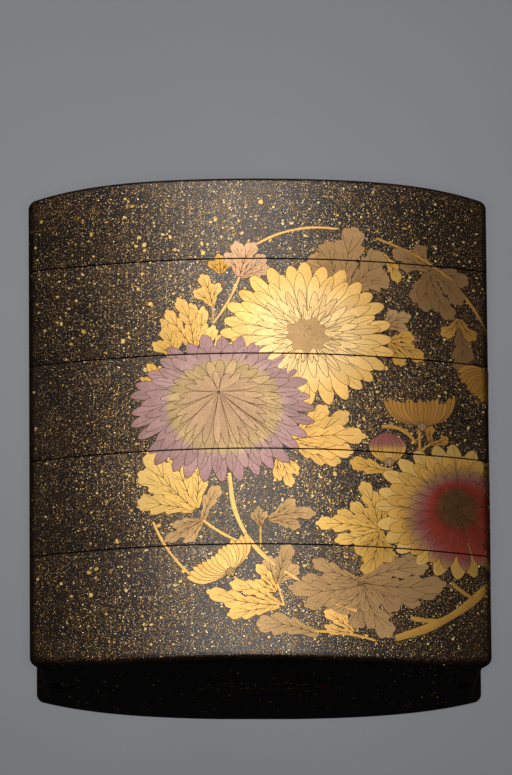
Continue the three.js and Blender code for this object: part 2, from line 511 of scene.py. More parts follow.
def makeSection(name, rings, kinds, firstY, lastY, flip):
    # kinds names the material of each band between two rings, with the two end caps first and last
    count = len(rings[0])
    points = np.concatenate([*rings, [(0, firstY, midDepth), (0, lastY, midDepth)]])
    faces = loftFaces(len(rings), count)
    bands = [kind for kind in kinds[1:-1] for _ in range(count)]
    first, last = len(points) - 2, len(points) - 1
    end = (len(rings) - 1) * count
    for j in range(count):
        k = (j + 1) % count
        faces.append((first, k, j))
        faces.append((last, end + j, end + k))
        bands.extend([kinds[0], kinds[-1]])
    if flip:
        faces = [tuple(reversed(face)) for face in faces]
    order = ["ground", "rim", "inside", "foot"]
    piece = makeObject(
        name + "_lacquer",
        points,
        faces,
        [groundMaterial, rimMaterial, nashijiMaterial, shadedFootMaterial],
        [order.index(band) for band in bands],
    )
    cutChannels(piece)
    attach(piece, "root")
    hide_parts(name)
    return piece


def openTopRings(floorY, rimY):
    # The inside from its floor up over the riser and out to the rounded rim of the outer wall
    high = rimY + case["riserHeight"]
    rings = [
        levelRing(roomShape, floorY),
        levelRing(roomShape, high),
        levelRing(riserShape, high),
        levelRing(riserShape, rimY),
        *seamRings(rimY, -1),
    ]
    kinds = ["inside", "inside", "rim", "rim", "rim"] + ["ground"] * outlineSteps["seamRound"]
    return rings, kinds


def makeLid():
    rimY = underEdges[0]
    ceilingY = topY - case["endThickness"]
    inside = [
        levelRing(roomShape, ceilingY),
        levelRing(roomShape, rimY + case["socketDepth"]),
        levelRing(socketShape, rimY + case["socketDepth"]),
        levelRing(socketShape, rimY),
        *seamRings(rimY, 1),
    ]
    dome = domeRings(topY, case["lidDrop"], 1)
    kinds = ["inside", "inside", "rim", "rim", "rim"] + ["ground"] * (outlineSteps["seamRound"] + len(dome) + 1)
    makeSection("lid", inside + dome, kinds, ceilingY, topY - case["groundDepth"], True)


def makeTray(name, rimY, underY):
    floorY = underY + case["socketDepth"] + case["floorThickness"]
    rings, kinds = openTopRings(floorY, rimY)
    under = list(reversed(seamRings(underY, 1)))
    socketTop = underY + case["socketDepth"]
    rings = [*rings, *under, levelRing(socketShape, underY), levelRing(socketShape, socketTop)]
    kinds = kinds + ["ground"] * (outlineSteps["seamRound"] + 1) + ["rim"] * 3
    makeSection(name, rings, kinds, floorY, socketTop, False)


def makeBottom(rimY):
    floorY = footY + case["endThickness"]
    rings, kinds = openTopRings(floorY, rimY)
    dome = domeRings(footY, case["footDrop"], -1)
    edgeBands = outlineSteps["domeEdge"] - 1
    kinds = kinds + ["ground"] * (edgeBands + 1) + ["foot"] * (len(dome) - edgeBands)
    makeSection("bottom_case", rings + dome, kinds, floorY, footY + case["groundDepth"], False)


makeLid()
for trayIndex in (1, 2, 3):
    makeTray(sectionNames[trayIndex], rimEdges[trayIndex - 1], underEdges[trayIndex])
makeBottom(rimEdges[3])
print("five lacquered sections made")


# ---- the gold picture: flat shapes in (along the wall, up the case), then wrapped round the wall ----

wallRun = np.array(list(reversed(shellSide(0))))  # from the middle of the front round the right side to the back
wallSteps = np.hypot(*np.diff(wallRun, axis=0).T)
wallLength = np.concatenate([[0], np.cumsum(wallSteps)])
wallTangent = np.gradient(wallRun, axis=0)
wallTangent = wallTangent / np.hypot(*wallTangent.T)[:, None]
wallNormal = np.column_stack([-wallTangent[:, 1], wallTangent[:, 0]])
halfWay = wallLength[-1]

cutShare = 0.35  # the picture stops this far round each section's rounded edge


def seamInset(y, span):
    # How far the rounded edges of a section draw the surface in at height y
    radius = case["seamRound"]
    inset = np.zeros_like(y)
    for edge, isSeam in ((span[0], span[0] > footY + 0.01), (span[1], span[1] < topY - 0.01)):
        if isSeam:
            into = np.clip(radius - np.abs(y - edge), 0, radius)
            inset = np.maximum(inset, radius - np.sqrt(radius**2 - into**2))
    return inset


def ontoWall(points, span):
    # points are [along, up, height over the ground]
    along = np.abs(points[:, 0])
    side = np.where(points[:, 0] < 0, -1.0, 1.0)
    high = points[:, 2] - seamInset(points[:, 1], span)
    x = np.interp(along, wallLength, wallRun[:, 0]) + high * np.interp(along, wallLength, wallNormal[:, 0])
    z = np.interp(along, wallLength, wallRun[:, 1]) + high * np.interp(along, wallLength, wallNormal[:, 1])
    return np.column_stack([side * x, points[:, 1], z])


def ontoEnd(points, outward):
    # points are [x, z, height over the ground] on the lid's top (1) or the foot (-1)
    endY, drop = (topY, case["lidDrop"]) if outward > 0 else (footY, case["footDrop"])
    surface = endY - outward * (case["groundDepth"] + domeDrop(drop, points[:, 0], points[:, 1]))
    return np.column_stack([points[:, 0], surface + outward * points[:, 2], points[:, 1]])


class Layer:
    # Closed thin slabs that share one powder
    def __init__(self):
        self.points = []
        self.faces = []
        self.powder = []
        self.count = 0

    def add(self, points, faces, tone, shade):
        self.points.append(points)
        self.faces.extend(tuple(i + self.count for i in face) for face in faces)
        extra = np.zeros((len(points), 3))
        extra[:, 0] = tone
        extra[:, 1] = shade
        self.powder.append(extra)
        self.count += len(points)

    def take(self, other, along):
        # All of another layer's slabs, moved along the wall
        for points in other.points:
            self.points.append(points + (along, 0, 0))
        self.faces.extend(tuple(i + self.count for i in face) for face in other.faces)
        self.powder.extend(other.powder)
        self.count += other.count


sunk = -0.03  # slabs reach this far under the ground


def gridFaces(rows, columns):
    # Faces of a slab whose top is a grid and whose underside is one strip
    faces = []
    under = rows * columns
    for i in range(rows - 1):
        a, b = i * columns, (i + 1) * columns
        for j in range(columns - 1):
            faces.append((a + j, a + j + 1, b + j + 1, b + j))
        left, nextLeft = under + 2 * i, under + 2 * i + 2
        faces.append((left, nextLeft, nextLeft + 1, left + 1))
        faces.append((a, b, nextLeft, left))
        faces.append((b + columns - 1, a + columns - 1, left + 1, nextLeft + 1))
    firstRow = tuple(range(columns))
    lastRow = tuple(range((rows - 1) * columns, rows * columns))
    lastUnder = under + 2 * (rows - 1)
    faces.append(tuple(reversed(firstRow)) + (under, under + 1))
    faces.append(lastRow + (lastUnder + 1, lastUnder))
    return faces


def sideways(spine):
    run = np.gradient(spine, axis=0)
    run = run / np.maximum(np.hypot(*run.T)[:, None], 1e-9)
    return run, np.column_stack([run[:, 1], -run[:, 0]])


def addSlab(layer, spine, half, level, crown=0.0, lean=0.0, across=4, tone=0.5, shade=0.5):
    # A flat slab along a spine; lean draws its sides forward, as the lobes of a leaf do
    run, side = sideways(spine)
    u = np.linspace(-1, 1, across + 1)
    grid = spine[:, None] + side[:, None] * (u[None, :, None] * half[:, None, None])
    grid = grid + run[:, None] * (lean * np.abs(u)[None, :, None] * half[:, None, None])
    top = np.full(grid.shape[:2], level) + crown * (1 - u[None, :] ** 2)
    upper = np.concatenate([grid, top[..., None]], axis=2).reshape(-1, 3)
    lower = grid[:, [0, -1]].reshape(-1, 2)
    lower = np.column_stack([lower, np.full(len(lower), sunk)])
    tones = np.asarray(tone, float) * np.ones(len(spine))
    allTones = np.concatenate([np.repeat(tones, across + 1), np.repeat(tones, 2)])
    layer.add(np.concatenate([upper, lower]), gridFaces(len(spine), across + 1), allTones, shade)


def edged(layer, outline, spine, half, level, width, underBy=0.003, **more):
    # A slab with a thin dark line round it, which is a slightly larger slab just below
    run, _ = sideways(spine)
    wide = spine.copy()
    wide[0] = wide[0] - run[0] * width
    wide[-1] = wide[-1] + run[-1] * width
    addSlab(outline, wide, half + width, level - underBy, lean=more.get("lean", 0.0), across=2)
    addSlab(layer, spine, half, level, **more)


def smoothPath(points, steps):
    # A smooth curve through a few chosen points
    points = np.asarray(points, float)
    ends = np.vstack([2 * points[0] - points[1], points, 2 * points[-1] - points[-2]])
    path = []
    for i in range(1, len(ends) - 2):
        p0, p1, p2, p3 = ends[i - 1 : i + 3]
        for t in np.arange(steps) / steps:
            path.append(
                0.5 * (2 * p1 + (p2 - p0) * t + (2 * p0 - 5 * p1 + 4 * p2 - p3) * t**2 + (3 * p1 - p0 - 3 * p2 + p3) * t**3)
            )
    path.append(points[-1])
    return np.array(path)


def drawLine(layer, points, width, level, steps=5, taper=0.5):
    # A fine line through a few points, thinner at its end
    spine = smoothPath(points, steps)
    t = np.linspace(0, 1, len(spine))
    addSlab(layer, spine, width / 2 * (1 - taper * t), level, across=1)


def polar(degrees):
    return np.array([math.cos(math.radians(degrees)), math.sin(math.radians(degrees))])


def tipShape(t, start, power):
    # 1 along the body of a petal, falling to nothing at its tip; a higher power gives a blunter tip
    past = np.clip((t - start) / (1 - start), 0, 1)
    return (1 - past**power) ** (1 / power)


front = {key: Layer() for key in [*powderLooks, "line"]}
fineLine = 0.065


# ---- chrysanthemums seen from the front ----

# rings: how many petals, how far they reach (share of the flower's radii), widest half width, where the tip
# starts along the petal, how blunt it is and which powder it has
paleFlower = dict(
    heart=(6.3, 11.4),
    centre=(6.3, 11.5),
    radii=(11.4, 9.9),
    level=0.026,
    bend=0.5,
    rings=[
        dict(count=28, reach=1.0, half=1.05, start=0.72, blunt=2.0, powder="paleGold"),
        dict(count=28, reach=0.86, half=0.82, start=0.68, blunt=1.8, powder="paleGold"),
        dict(count=26, reach=0.62, half=0.55, start=0.6, blunt=1.7, powder="paleGold"),
        dict(count=28, reach=0.4, half=0.36, start=0.5, blunt=1.6, powder="paleGold"),
    ],
    zone=dict(centre=(6.3, 11.5), radii=(11.3, 9.8), tones=[(0.0, 0.95), (0.55, 0.8), (0.8, 0.5), (1.0, 0.3)]),
    boss=dict(radii=(2.7, 2.4), wave=0.1, lobes=9, powder="brownGold", tone=0.9, seeds=20),
)
mauveFlower = dict(
    heart=(-5.3, 3.4),
    centre=(-4.9, 1.0),
    radii=(11.9, 10.3),
    level=0.038,
    bend=0.35,
    rings=[
        dict(count=32, reach=1.0, half=1.1, start=0.74, blunt=1.7, powder="mauve"),
        dict(count=32, reach=0.86, half=1.0, start=0.7, blunt=1.7, powder="mauve"),
        dict(count=28, reach=0.68, half=0.95, start=0.64, blunt=1.6, powder="mauve"),
        dict(count=24, reach=0.5, half=0.85, start=0.56, blunt=1.5, powder="mauve"),
    ],
    # tan round the heart, a faint olive fringe, then mauve that turns redder at the tips
    zone=dict(
        centre=(-4.6, 1.3),
        radii=(6.4, 5.6),
        tones=[(0.0, 0.0), (0.75, 0.2), (0.98, 0.36), (1.12, 0.4), (1.22, 0.6), (1.6, 0.78), (1.8, 0.8), (2.0, 1.0)],
    ),
    boss=None,
)
crimsonFlower = dict(
    heart=(25.9, -11.6),
    centre=(25.6, -12.2),
    radii=(10.6, 9.2),
    level=0.026,
    bend=0.4,
    rings=[
        dict(count=24, reach=1.0, half=1.1, start=0.74, blunt=1.9, powder="richGold"),
        dict(count=24, reach=0.87, half=1.0, start=0.72, blunt=1.9, powder="crimson"),
        dict(count=23, reach=0.73, half=0.85, start=0.68, blunt=1.8, powder="crimson"),
        dict(count=21, reach=0.58, half=0.7, start=0.62, blunt=1.7, powder="crimson"),
    ],
    # crimson round the heart, wider towards the lower right, then dusky rose and gold tips
    zone=dict(
        centre=(27.6, -13.4),
        radii=(9.6, 8.2),
        tones=[(0.0, 0.18), (0.55, 0.3), (0.68, 0.46), (0.8, 0.62), (0.98, 0.85), (1.25, 1.0)],
    ),
    core=(2.3, 3.9),  # inside the first distance from the heart the petals have the boss's colour
    goldTones=[(0.0, 0.4), (0.8, 0.5), (1.1, 0.7)],
    boss=dict(radii=(3.5, 3.4), seeds=420),
)


def petalSpine(flower, reach, degrees, bend):
    tip = np.array(flower["centre"]) + np.array(flower["radii"]) * reach * polar(degrees)
    heart = np.array(flower["heart"])
    root = heart + (tip - heart) * 0.04
    t = np.sin(np.linspace(0, math.pi / 2, 12))[:, None]
    across = np.array([-(tip - root)[1], (tip - root)[0]])
    return root + (tip - root) * t + across * (bend * np.sin(math.pi * t) * t)


def zoneTones(flower, spine, powder):
    # The powder's tone along a petal follows the flower's own zones of colour
    zone = flower["zone"]
    stops = flower["goldTones"] if powder == "richGold" else zone["tones"]
    reach = np.hypot(*((spine - np.array(zone["centre"])) / np.array(zone["radii"])).T)
    tones = np.interp(reach, [stop[0] for stop in stops], [stop[1] for stop in stops])
    if "core" in flower and powder != "richGold":
        tones = tones * np.interp(np.hypot(*(spine - np.array(flower["heart"])).T), flower["core"], [0, 1])
    return tones


def makeFlower(flower, layers, draws):
    line = layers["line"]
    level = flower["level"]
    for ringIndex, ring in enumerate(flower["rings"]):
        step = 360 / ring["count"]
        for k in range(ring["count"]):
            degrees = (k + 0.5 * (ringIndex % 2) + draws.uniform(-0.13, 0.13)) * step
            reach = ring["reach"] * (1 + draws.uniform(-0.035, 0.035))
            bend = flower["bend"] * draws.uniform(-0.12, 0.12)
            spine = petalSpine(flower, reach, degrees, bend)
            beside = petalSpine(flower, reach, degrees + step, bend)
            room = np.hypot(*(beside - spine).T) / 2
            t = np.sin(np.linspace(0, math.pi / 2, len(spine)))
            widest = ring["half"] * draws.uniform(0.92, 1.08)
            half = np.minimum(widest, np.maximum(room - fineLine * 0.5, 0.02)) * tipShape(t, ring["start"], ring["blunt"])
            edged(
                layers[ring["powder"]],
                line,
                spine,
                np.maximum(half, 0.015),
                level + draws.uniform(0, 0.001),
                fineLine,
                crown=0.003,
                tone=zoneTones(flower, spine, ring["powder"]),
                shade=draws.random(),
            )
            if ringIndex < 3 and draws.random() < 0.4:
                run, side = sideways(spine)
                crease = spine + side * (half * draws.uniform(-0.3, 0.3))[:, None]
                drawLine(line, crease[[4, 6, 8, 9]], fineLine, level + 0.007)
        level += 0.007
    if flower["boss"]:
        makeBoss(flower, layers, draws, level)


def makeBoss(flower, layers, draws, level):
    boss = flower["boss"]
    radii = np.array(boss["radii"])
    heart = np.array(flower["heart"])
    for k in range(boss["seeds"]):
        spot = heart + polar(draws.uniform(0, 360)) * radii * draws.random() ** 0.7
        mark = polar(draws.uniform(0, 360)) * draws.uniform(0.12, 0.3)
        drawLine(layers["line"], [spot, spot + mark], fineLine * 1.1, level + 0.009, steps=2)
    if "powder" not in boss:
        return
    angles = np.linspace(0, 360, 73)[:-1]
    phase = draws.uniform(0, 360)
    swell = 1 + boss["wave"] * np.sin(np.radians(angles * boss["lobes"] + phase))
    swell = swell + boss["wave"] * 0.5 * np.sin(np.radians(angles * 4 + phase))
    rim = np.array([polar(a) for a in angles]) * radii * swell[:, None]
    count = len(rim)
    rings = [np.column_stack([heart + rim, np.full(count, sunk)])]
    for scale, rise in ((1.0, 0), (0.75, 0.004), (0.5, 0.006), (0.25, 0.007)):
        rings.append(np.column_stack([heart + rim * scale, np.full(count, level + rise)]))
    points = np.concatenate([*rings, [[*heart, level + 0.007], [*heart, sunk]]])
    faces = loftFaces(5, count)
    top, under = len(points) - 2, len(points) - 1
    for j in range(count):
        k = (j + 1) % count
        faces.append((4 * count + j, 4 * count + k, top))
        faces.append((k, j, under))
    layers[boss["powder"]].add(points, faces, boss["tone"], 0.5)
    # Short rays round the boss and seeds within it
    for k in range(56):
        out = polar(k * 360 / 56 + draws.uniform(-2, 2)) * radii
        start = heart + out * draws.uniform(1.02, 1.12)
        end = heart + out * draws.uniform(1.3, 1.8)
        drawLine(layers["line"], [start, end], fineLine, level - 0.001, steps=3, taper=0.6)


# ---- flowers seen from the side, and the bud ----

# base, direction of the middle petal, reach to each side and forward, and how far the side petals stand behind
sideFlowers = [
    dict(base=(21.3, -0.7), aim=94, reach=4.8, height=3.7, dip=-0.08, count=17, half=0.42, powder="richGold", tones=(0.0, 0.1)),
    dict(base=(30.7, 7.6), aim=230, reach=3.4, height=4.0, dip=0.2, count=12, half=0.5, powder="richGold", tones=(0.0, 0.1)),
    dict(base=(-3.9, -21.9), aim=126, reach=4.9, height=3.6, dip=0.1, count=15, half=0.5, powder="paleGold", tones=(0.6, 0.4)),
]


def makeSideFlower(flower, layers, draws):
    # Petals sweep out of a calyx to a flat top, the outer ones first and the middle ones over them
    base = np.array(flower["base"], float)
    forward = polar(flower["aim"])
    aside = polar(flower["aim"] - 90)
    order = sorted(range(flower["count"]), key=lambda k: -abs(k - (flower["count"] - 1) / 2))
    for place, k in enumerate(order):
        share = 2 * k / (flower["count"] - 1) - 1
        rise = flower["height"] * (1 - flower["dip"] * share**2) * draws.uniform(0.9, 1.08)
        tip = base + aside * share * flower["reach"] + forward * rise
        start = base + aside * share * 0.5
        belly = base + aside * share * flower["reach"] * 0.68 + forward * rise * (0.5 - 0.12 * abs(share))
        spine = smoothPath([start, belly, tip], 7)
        t = np.linspace(0, 1, len(spine))
        half = flower["half"] * np.clip(t * 1.5 + 0.2, 0, 1) * tipShape(t, 0.66, 1.7)
        edged(
            layers[flower["powder"]],
            layers["line"],
            spine,
            np.maximum(half, 0.02),
            0.02 + 0.0026 * place,
            fineLine,
            underBy=0.0013,
            tone=np.interp(t, [0, 1], flower["tones"]),
            shade=draws.random(),
        )
    makeCalyx(base, flower["aim"], 0.7, layers)


def makeCalyx(base, aim, size, layers):
    # A small cup of sepals under a flower
    for place, turn in enumerate((-62, 62, -30, 30, 0)):
        spine = smoothPath([base - polar(aim) * size * 0.8, base + polar(aim + turn) * size], 5)
        t = np.linspace(0, 1, len(spine))
        half = np.maximum(size * (0.16 + 0.14 * np.sin(math.pi * t)) * tipShape(t, 0.5, 1.4), 0.02)
        edged(layers["brownGold"], layers["line"], spine, half, 0.064 + 0.002 * place, fineLine, underBy=0.001, tone=0.8)


budShape = dict(base=(16.9, -6.0), aim=96, length=4.1, half=1.75)


def makeBud(bud, layers, draws):
    # A round bud of overlapping petals, gold below and mauve above
    base = np.array(bud["base"])
    for share in (-1, 1, -0.66, 0.66, -0.33, 0.33, 0):
        side = polar(bud["aim"] - 90)
        belly = base + polar(bud["aim"]) * bud["length"] * 0.5 + side * share * bud["half"]
        tip = base + polar(bud["aim"]) * bud["length"] * (1 - 0.1 * share**2) + side * share * bud["half"] * 0.55
        spine = smoothPath([base + side * share * 0.3, belly, tip], 7)
        t = np.linspace(0, 1, len(spine))
        half = 0.68 * np.sin(math.pi * np.clip(t, 0.06, 0.97)) ** 0.6
        level = 0.024 + 0.012 * (1 - abs(share))
        tones = np.interp(t, [0, 0.45, 0.62, 0.8], [0.95, 0.85, 0.52, 0.5])
        edged(layers["crimson"], layers["line"], spine, half, level, fineLine, tone=tones, shade=draws.random())
    makeCalyx(base, bud["aim"], 0.7, layers)


# ---- leaves ----

# base, direction and reach of the middle lobe, number of lobes and the angle that they fan over
leaves = [
    dict(base=(11, 17.5), aim=75, reach=9, lobes=5, spread=110, powder="brownGold", tone=0.6),
    dict(base=(22.5, 21.5), aim=150, reach=5.5, lobes=3, spread=60, powder="brownGold", tone=0.4),
    dict(base=(22.5, 21.5), aim=292, reach=7, lobes=5, spread=95, powder="brownGold", tone=0.3),
    dict(base=(16, 23.5), aim=300, reach=4.5, lobes=1, spread=0, powder="richGold", tone=0.5),
    dict(base=(26.5, 15), aim=270, reach=8, lobes=1, spread=0, powder="brownGold", tone=0.2),
    dict(base=(26.5, 15), aim=270, reach=5, lobes=2, spread=85, powder="richGold", tone=0.2),
    dict(base=(-2.5, 19.5), aim=68, reach=5.5, lobes=5, spread=95, powder="rosyGold", tone=0.6),
    dict(base=(-5, 20), aim=95, reach=3, lobes=3, spread=75, powder="richGold", tone=0.4),
    dict(base=(-6, 15.5), aim=105, reach=4.5, lobes=3, spread=60, powder="paleGold", tone=0.35),
    dict(base=(-8.5, 9.5), aim=104, reach=8, lobes=5, spread=60, powder="paleGold", tone=0.3),
    dict(base=(-11, 8), aim=112, reach=5, lobes=3, spread=60, powder="richGold", tone=0.6),
    dict(base=(-12.5, 4), aim=125, reach=4.5, lobes=3, spread=45, powder="richGold", tone=0.5),
    dict(base=(-6.5, 9), aim=80, reach=4, lobes=3, spread=60, powder="paleGold", tone=0.4),
    dict(base=(16.5, 13), aim=25, reach=4, lobes=3, spread=60, powder="brownGold", tone=0.75),
    dict(base=(17, 11), aim=335, reach=5, lobes=3, spread=70, powder="richGold", tone=0.4),
    dict(base=(-8.5, -13), aim=128, reach=11, lobes=5, spread=80, powder="richGold", tone=0.75),
    dict(base=(-7.5, -14.5), aim=210, reach=5.5, lobes=3, spread=45, powder="brownGold", tone=0.9),
    dict(base=(-7.5, -14.5), aim=65, reach=5.5, lobes=1, spread=0, powder="brownGold", tone=0.9),
    dict(base=(3.5, -3.5), aim=10, reach=10, lobes=5, spread=72, powder="paleGold", tone=0.3),
    dict(base=(2.5, -5.5), aim=293, reach=5, lobes=3, spread=48, powder="paleGold", tone=0.35),
    dict(base=(0, -15.5), aim=95, reach=3, lobes=3, spread=55, powder="brownGold", tone=0.8),
    dict(base=(1, -14.5), aim=12, reach=6, lobes=3, spread=48, powder="brownGold", tone=0.8),
    dict(base=(2, -23.5), aim=72, reach=5.5, lobes=3, spread=60, powder="brownGold", tone=0.9),
    dict(base=(2, -24.5), aim=122, reach=4.5, lobes=3, spread=50, powder="paleGold", tone=0.2),
    dict(base=(2.5, -26.5), aim=172, reach=9.5, lobes=3, spread=32, powder="paleGold", tone=0.35),
    dict(base=(7.5, -30.5), aim=167, reach=8.5, lobes=1, spread=0, powder="brownGold", tone=0.85),
    dict(base=(12, -30), aim=143, reach=5, lobes=3, spread=50, powder="paleGold", tone=0.25),
    dict(base=(14, -23), aim=190, reach=10.5, lobes=5, spread=64, powder="brownGold", tone=0.7),
    dict(base=(12.5, -23), aim=5, reach=12, lobes=5, spread=50, powder="brownGold", tone=0.62),
    dict(base=(13, -22.5), aim=295, reach=9, lobes=3, spread=56, powder="brownGold", tone=0.66),
    dict(base=(15.5, -15.5), aim=112, reach=7, lobes=3, spread=50, powder="richGold", tone=0.55),
    dict(base=(15.5, -15.5), aim=178, reach=8, lobes=3, spread=44, powder="richGold", tone=0.6),
    dict(base=(15.5, -15.5), aim=255, reach=6.5, lobes=3, spread=64, powder="richGold", tone=0.5),
    dict(base=(22.5, -3), aim=55, reach=3.5, lobes=2, spread=60, powder="richGold", tone=0.1),
    dict(base=(17.5, -7.5), aim=164, reach=6, lobes=1, spread=0, powder="richGold", tone=0.4),
]


def makeLobe(base, tip, width, leaf, level, layers, draws):
    length = np.hypot(*(tip - base))
    across = np.array([-(tip - base)[1], (tip - base)[0]])
    middle = (base + tip) / 2 + across * draws.uniform(-0.09, 0.09)
    spine = smoothPath([base, middle, tip], 13)
    t = np.linspace(0, 1, len(spine))
    teeth = 2 + int(length > 4) + int(length > 6.5)
    swell = 0.34 + 0.66 * np.clip(t / 0.5, 0, 1) ** 1.3
    phase = (teeth * t + 0.3) % 1
    scallop = 1 - np.interp(phase, [0, 0.3, 0.7, 0.86, 1], [0.42, 0.14, 0, 0.14, 0.42]) * np.clip(t / 0.25, 0, 1)
    half = np.maximum(width * swell * tipShape(t, 0.56, 1.7) * scallop, 0.03)
    lean = 0.62
    tones = leaf["tone"] + np.interp(t, [0, 1], [-0.12, 0.12])
    shade = draws.random()
    edged(
        layers[leaf["powder"]], layers["line"], spine, half, level, fineLine * 0.8, crown=0, lean=lean, tone=tones, shade=shade
    )
    # The midrib and a vein out to each tooth
    line = layers["line"]
    high = level + 0.002
    drawLine(line, spine[[1, 8, 15, 22]], fineLine * 1.6, high)
    run, side = sideways(spine)
    for tooth in range(teeth):
        at = int(len(spine) * (0.14 + 0.58 * tooth / teeth))
        for hand in (-1, 1):
            step = hand * side[at] * half[at] * 0.78
            forward = run[at] * half[at] * 0.78
            start = spine[at]
            ahead = [start, start + step * 0.5 + forward, start + step * 0.85 + forward * 1.9]
            drawLine(line, ahead, fineLine * 1.2, high, steps=3)


def makeLeaf(leaf, level, layers, draws):
    base = np.array(leaf["base"], float)
    # The outer lobes come first and the middle one lies over them
    places = np.linspace(-1, 1, leaf["lobes"]) if leaf["lobes"] > 1 else np.zeros(1)
    # Half a lobe's width for each mm of its reach, so that gaps stay between the lobes
    slender = np.clip(0.62 * math.radians(leaf["spread"]) / leaf["lobes"], 0.14, 0.23) if leaf["spread"] else 0.2
    for k, place in enumerate(sorted(places, key=abs, reverse=True)):
        reach = leaf["reach"] * (1 - 0.26 * abs(place)) * draws.uniform(0.93, 1.06)
        toTip = polar(leaf["aim"] + place * leaf["spread"] / 2 + draws.uniform(-5, 5))
        width = leaf["reach"] * slender * (1 - 0.15 * abs(place))
        makeLobe(base, base + toTip * reach, width, leaf, level + 0.0026 * k, layers, draws)


# ---- stems ----

# start, end and how far the middle bows to the left of the way there
stems = [
    dict(start=(-0.5, 24), end=(10.5, 26.5), bow=1, width=0.3, powder="paleGold", tone=0.2),
    dict(start=(15.5, 25.5), end=(32, 9), bow=3.3, width=0.34, powder="richGold", tone=0.2),
    dict(start=(-14, -14.5), end=(-7.5, -23.5), bow=-0.8, width=0.32, powder="paleGold", tone=0.25),
    dict(start=(-4, -8), end=(5, -23), bow=-2.6, width=0.52, powder="paleGold", tone=0.4),
    dict(start=(-7.5, -14.5), end=(-3, -17.5), bow=-0.2, width=0.34, powder="paleGold", tone=0.3),
    dict(start=(-3.5, -22.5), end=(3, -26.5), bow=-0.4, width=0.34, powder="paleGold", tone=0.3),
    dict(start=(2, -23), end=(3, -26.5), bow=0, width=0.28, powder="paleGold", tone=0.3),
    dict(start=(0, -15.5), end=(0, -18.5), bow=0, width=0.28, powder="richGold", tone=0.4),
    dict(start=(9, -26), end=(12.5, -27), bow=0, width=0.6, powder="paleGold", tone=0.3),
    dict(start=(7, -30), end=(15, -31), bow=0.3, width=0.34, powder="richGold", tone=0.5),
    dict(start=(17.5, -30.5), end=(32.5, -18.5), bow=-1.8, width=1.0, powder="richGold", tone=0.35),
    dict(start=(19.5, -27.5), end=(24, -27.5), bow=-0.2, width=0.6, powder="richGold", tone=0.4),
    dict(start=(25, -22), end=(28, -24), bow=-0.2, width=0.5, powder="richGold", tone=0.2),
    dict(start=(-2.5, 19.5), end=(-6, 13), bow=0.3, width=0.3, powder="paleGold", tone=0.4),
    dict(start=(-6, 15.5), end=(-6, 13), bow=0, width=0.3, powder="rosyGold", tone=0.5),
    dict(start=(21, -1), end=(21, -5.5), bow=0, width=0.36, powder="richGold", tone=0.2),
    dict(start=(21, -4.5), end=(23.5, -2.5), bow=0.3, width=0.3, powder="richGold", tone=0.2),
    dict(start=(17, -6.5), end=(17.5, -9), bow=0, width=0.4, powder="brownGold", tone=0.8),
    dict(start=(16, -1), end=(20.5, -3), bow=0.8, width=0.5, powder="richGold", tone=0.2),
    dict(start=(24, 21.5), end=(26, 20), bow=0.1, width=0.36, powder="richGold", tone=0.2),
]


def makeStem(stem, layers):
    start = np.array(stem["start"], float)
    way = np.array(stem["end"]) - start
    left = np.array([-way[1], way[0]]) / np.hypot(*way)
    quarter = left * stem["bow"] * 0.75  # the bow a quarter of the way along
    points = [start, start + way / 4 + quarter, start + way / 2 + left * stem["bow"], start + way * 3 / 4 + quarter]
    spine = smoothPath([*points, start + way], 8)
    t = np.linspace(0, 1, len(spine))
    half = stem["width"] / 2 * (1 - 0.12 * np.cos(t * 15)) * tipShape(t, 0.93, 2)
    addSlab(layers[stem["powder"]], spine, np.maximum(half, 0.03), 0.012, crown=0.01, across=4, tone=stem["tone"])


draws = random.Random(11)
for stem in stems:
    makeStem(stem, front)
for leafIndex, leaf in enumerate(leaves):
    makeLeaf(leaf, 0.015 + 0.0001 * leafIndex, front, draws)
makeFlower(paleFlower, front, draws)
makeFlower(mauveFlower, front, draws)
makeFlower(crimsonFlower, front, draws)
for sideFlower in sideFlowers:
    makeSideFlower(sideFlower, front, draws)
makeBud(budShape, front, draws)

# The back has a plainer spray, right of its middle; its measures count from the middle of the spray
spray = dict(
    middle=halfWay - 14.0,
    flower=dict(
        heart=(0.6, 5.0),
        centre=(0.4, 4.4),
        radii=(7.4, 6.6),
        level=0.026,
        bend=0.45,
        rings=[
            dict(count=24, reach=1.0, half=0.9, start=0.72, blunt=1.9, powder="richGold"),
            dict(count=24, reach=0.82, half=0.7, start=0.66, blunt=1.8, powder="richGold"),
            dict(count=22, reach=0.58, half=0.5, start=0.6, blunt=1.7, powder="richGold"),
        ],
        goldTones=[(0.0, 0.7), (0.6, 0.5), (1.0, 0.3)],
        zone=dict(centre=(0.4, 4.4), radii=(7.4, 6.6)),
        boss=dict(radii=(1.7, 1.5), wave=0.1, lobes=8, powder="bossBrown", tone=0.5, seeds=24),
    ),
    sideFlower=dict(
        base=(-6.0, -6.6), aim=118, reach=3.2, height=3.0, dip=0, count=11, half=0.42, powder="paleGold", tones=(0.5, 0.2)
    ),
    leaves=[
        dict(base=(-1, -6.5), aim=112, reach=6, lobes=3, spread=50, powder="brownGold", tone=0.5),
        dict(base=(2.5, -9.5), aim=34, reach=6, lobes=3, spread=60, powder="paleGold", tone=0.3),
        dict(base=(-0.5, -12.5), aim=194, reach=6, lobes=3, spread=60, powder="richGold", tone=0.3),
        dict(base=(4.5, -14.5), aim=2, reach=5, lobes=3, spread=60, powder="brownGold", tone=0.4),
    ],
    stems=[
        dict(start=(0.6, 0.2), end=(6.6, -17.6), bow=-2, width=0.5, powder="richGold", tone=0.3),
        dict(start=(-5.9, -7.4), end=(3.2, -12.6), bow=-0.8, width=0.36, powder="richGold", tone=0.3),
    ],
)


